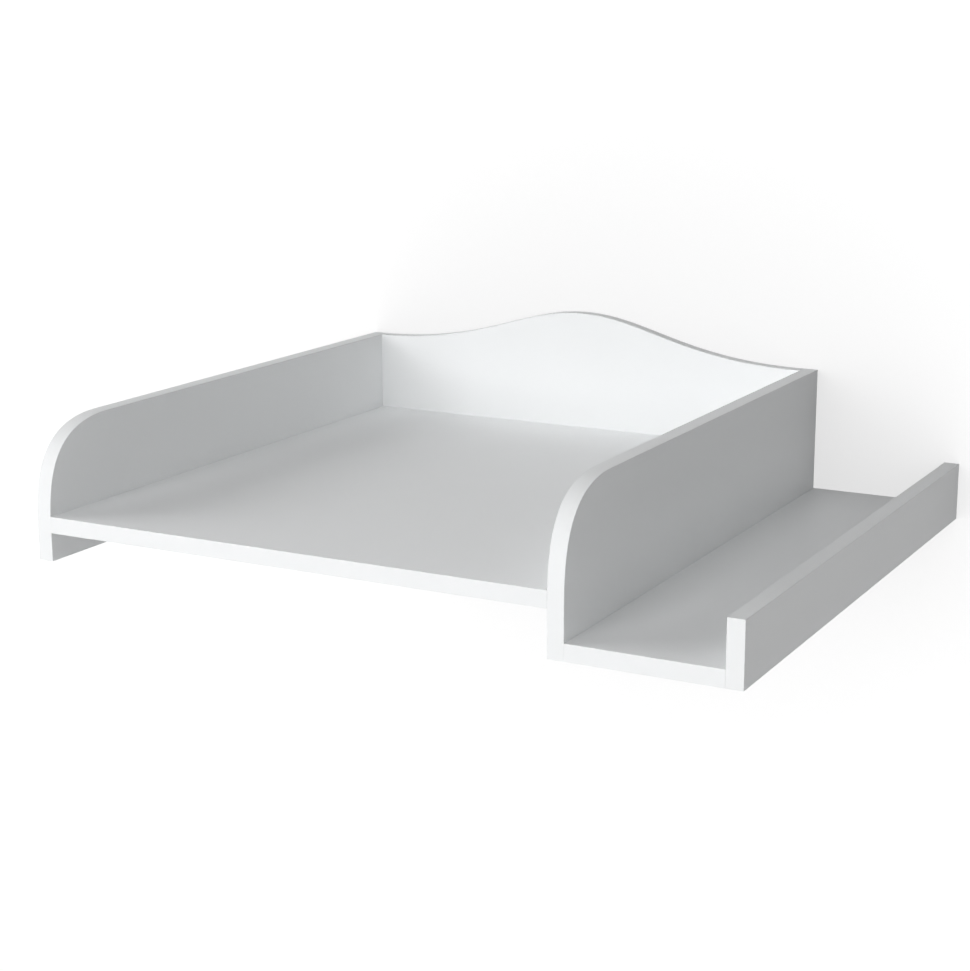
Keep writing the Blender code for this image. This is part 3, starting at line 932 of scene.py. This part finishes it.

# %% [markdown]
# ## Dress the pieces
#
# Each new piece takes its finish and moves with one body, and the part of the frame that it stands for is
# hidden. The topper has no moving parts, so everything rides on one body.

# %% Assign finishes, places and slots
def dress(pieces, material):
    """Gives a group of pieces its finish and the body it moves with, and hides the frame's part that each
    stands for.
    """
    for node, piece in pieces.items():
        piece.data.materials.clear()
        piece.data.materials.append(material)
        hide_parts(node)
        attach(piece, "root")


dress(boards, melamine)
dress(bands, edging)
dress(cams, zinc)
dress(screws, steel)
dress(pegs, beech)
dressed = [*boards.values(), *bands.values(), *cams.values(), *screws.values(), *pegs.values()]
print(len(dressed), "pieces,", sum(len(piece.data.polygons) for piece in dressed), "faces")

# %% [markdown]
# ## The room
#
# The topper is shown against a white wall, high above a white floor. Both would be grey in places under
# the plain light that the topper needs. So what the camera, a shiny face or clear plastic sees of them is
# mostly light of their own: nearly white in the open, and greyer near the topper, as an Ambient Occlusion
# node tells. A thin layer of real paint over it takes the topper's shadow. All other rays see only paint,
# and a faint glow of the floor, which lights the undersides. The sheets are one-sided, and the wall lets
# through the rays that start right behind the topper, so the rear stays lit and free to look at.

# %% Paint of the room
WALL_GAP = 0.0005
NEAR_WALL = 0.002
FLOOR_DEPTH = 1.6
ROOM = 40.0
SHADE_REACH = 0.8
PAINT_SEEN = 0.115
WALL_BOUNCE = 0.18
FLOOR_BOUNCE = 0.90
FLOOR_GLOW = (0.06, 0.06, 0.06, 1)
# The sheets' own light: nearly white in the open, and a painted shade of grey where the topper is close.
LIGHT_IN_OPEN = (0.955, 0.955, 0.955, 1)
LIGHT_IN_CORNER = (0.620, 0.620, 0.622, 1)
BLACK = (0, 0, 0, 1)


def background_ray(tree):
    """One for the rays that show the background: from the camera, off shiny faces and through clear ones."""
    rays = ("Is Camera Ray", "Is Glossy Ray", "Is Transmission Ray")
    camera, glossy, transmitted = (tree.add("ShaderNodeLightPath", output=ray) for ray in rays)
    return tree.math("MAXIMUM", camera, tree.math("MAXIMUM", glossy, transmitted))


def room_material(name, near, bounce, glow):
    """White paint with no rear side. The camera sees mostly light, less of it in corners, and some shadow."""
    material = bpy.data.materials.new(name)
    material.use_nodes = True
    tree = material.node_tree
    tree.nodes.clear()
    start = Socket(tree)
    shown = background_ray(start)
    length = start.add("ShaderNodeLightPath", output="Ray Length")
    behind = start.add("ShaderNodeNewGeometry", output="Backfacing")
    grey = shown * PAINT_SEEN + (1 - shown) * bounce
    paint = start.add("ShaderNodeBsdfDiffuse", None, {"Color": grey})
    openness = start.add("ShaderNodeAmbientOcclusion", None, {"Distance": SHADE_REACH}, output="AO")
    # Painted shade: for the camera and shiny faces the sheet's own light is greyer where the Ambient
    # Occlusion node finds the topper close. Other rays see the glow, which is painted light that lights the
    # undersides.
    white = start.mix(shown, glow, start.mix(openness, LIGHT_IN_CORNER, LIGHT_IN_OPEN))
    light = start.add("ShaderNodeEmission", None, {"Color": white})
    lifted = start.add("ShaderNodeAddShader", None, {0: paint, 1: light})
    clear = start.add("ShaderNodeBsdfTransparent")
    there = (1 - behind) * start.math("GREATER_THAN", length, near)
    result = start.add("ShaderNodeMixShader", None, {0: there, 1: clear, 2: lifted})
    start.add("ShaderNodeOutputMaterial", None, {"Surface": result})
    return material


wall_y = REAR + WALL_GAP
floor_z = UNDERSIDE - FLOOR_DEPTH
print("wall at y", round(wall_y, 4), "floor at z", round(floor_z, 3))


# %% Wall and floor
def sheet_of_room(name, corners):
    """One flat face of the room, which stays apart from the topper's body."""
    mesh = bpy.data.meshes.new(name)
    mesh.from_pydata(corners, [], [(0, 1, 2, 3)])
    sheet = bpy.data.objects.new(name, mesh)
    bpy.context.scene.collection.objects.link(sheet)
    return sheet


wall = sheet_of_room(
    "wall", [(-ROOM, wall_y, floor_z), (ROOM, wall_y, floor_z), (ROOM, wall_y, ROOM), (-ROOM, wall_y, ROOM)]
)
floor = sheet_of_room(
    "floor", [(-ROOM, -ROOM, floor_z), (ROOM, -ROOM, floor_z), (ROOM, ROOM, floor_z), (-ROOM, ROOM, floor_z)]
)
wall.data.materials.append(room_material("wall_paint", NEAR_WALL, WALL_BOUNCE, BLACK))
floor.data.materials.append(room_material("floor_paint", 0.0, FLOOR_BOUNCE, FLOOR_GLOW))
print("stage:", wall.name, floor.name)

# %% [markdown]
# ## Light
#
# The topper is lit as in a bright room: the open fronts and the back panel are almost white, the inner
# faces are grey, and nothing has a hard shadow. Large square lamps do that from far away, mostly from the
# front and the left, with a weak even light from the world. One more lamp stands behind, for the rear
# view, and the wall keeps it off the front. No lamp shows in a satin face, because a square highlight
# would look like a stain. The world is white where the camera or a shiny face sees it.

# %% Lamps on a dome
AMBIENT = 0.12
LAMP_DISTANCE = 5.0
LAMP_AIM = (0.1, 0.0, 0.05)
# For each lamp: degrees to the right of the front, degrees up, side in metres and power in watts.
LAMPS = {
    "window": (-67, 25, 2.67, 80.0),
    "left_side": (-84, 22, 1.67, 18.0),
    "front": (-6, 5, 1.67, 140.0),
    "ceiling": (0, 85, 3.33, 66.0),
    "right_side": (70, 15, 3.33, 41.0),
    "behind": (170, 12, 3.33, 150.0),
}


def add_lamp(name, turn, rise, size, power):
    """A square lamp on a dome: turned from the front to the right, raised, and facing the topper."""
    turn, rise = math.radians(turn), math.radians(rise)
    way = Vector((math.sin(turn) * math.cos(rise), -math.cos(turn) * math.cos(rise), math.sin(rise)))
    light = bpy.data.lights.new(name, "AREA")
    light.size = size
    light.energy = power
    lamp = bpy.data.objects.new(name, light)
    lamp.location = Vector(LAMP_AIM) + way * LAMP_DISTANCE
    lamp.rotation_euler = way.to_track_quat("Z", "Y").to_euler()
    lamp.visible_glossy = False
    bpy.context.scene.collection.objects.link(lamp)
    return lamp


lamps = {name: add_lamp(name, *values) for name, values in LAMPS.items()}
print({name: round(lamp.data.energy, 1) for name, lamp in lamps.items()})

# %% A dim world that looks white
world = bpy.data.worlds.new("white_room")
world.use_nodes = True
bpy.context.scene.world = world
world.node_tree.nodes.clear()
sky = Socket(world.node_tree)
dim = sky.add("ShaderNodeBackground", None, {"Color": (1, 1, 1, 1), "Strength": AMBIENT})
bright = sky.add("ShaderNodeBackground", None, {"Color": (1, 1, 1, 1), "Strength": 1.0})
both = sky.add("ShaderNodeMixShader", None, {0: background_ray(sky), 1: dim, 2: bright})
sky.add("ShaderNodeOutputWorld", None, {"Surface": both})
print("world gives", AMBIENT, "and shows 1")

# %% [markdown]
# ## Camera
#
# The view was found by fitting a pinhole camera to the straight edges of the object, which also gave its
# sizes. It looks down a little from the front right, so that the tray and the inside can both be seen.

# %% Camera and colours
LENS = 74.443
CAMERA_PLACE = (1.15372, -2.07156, 0.57923)
CAMERA_RIGHT = (0.88176, 0.47169, -0.00159)
CAMERA_UP = (-0.10846, 0.20603, 0.97252)
CAMERA_BACK = (0.45906, -0.85736, 0.23283)

camera = bpy.data.objects.new("camera", bpy.data.cameras.new("camera"))
camera.data.lens = LENS
axes = Matrix((CAMERA_RIGHT, CAMERA_UP, CAMERA_BACK)).transposed().to_4x4()
camera.matrix_world = Matrix.Translation(CAMERA_PLACE) @ axes
bpy.context.scene.collection.objects.link(camera)
bpy.context.scene.camera = camera
bpy.context.scene.view_settings.view_transform = "Standard"
print("camera", round((Vector(CAMERA_PLACE) - Vector(LAMP_AIM)).length, 2), "m away, lens", LENS, "mm")
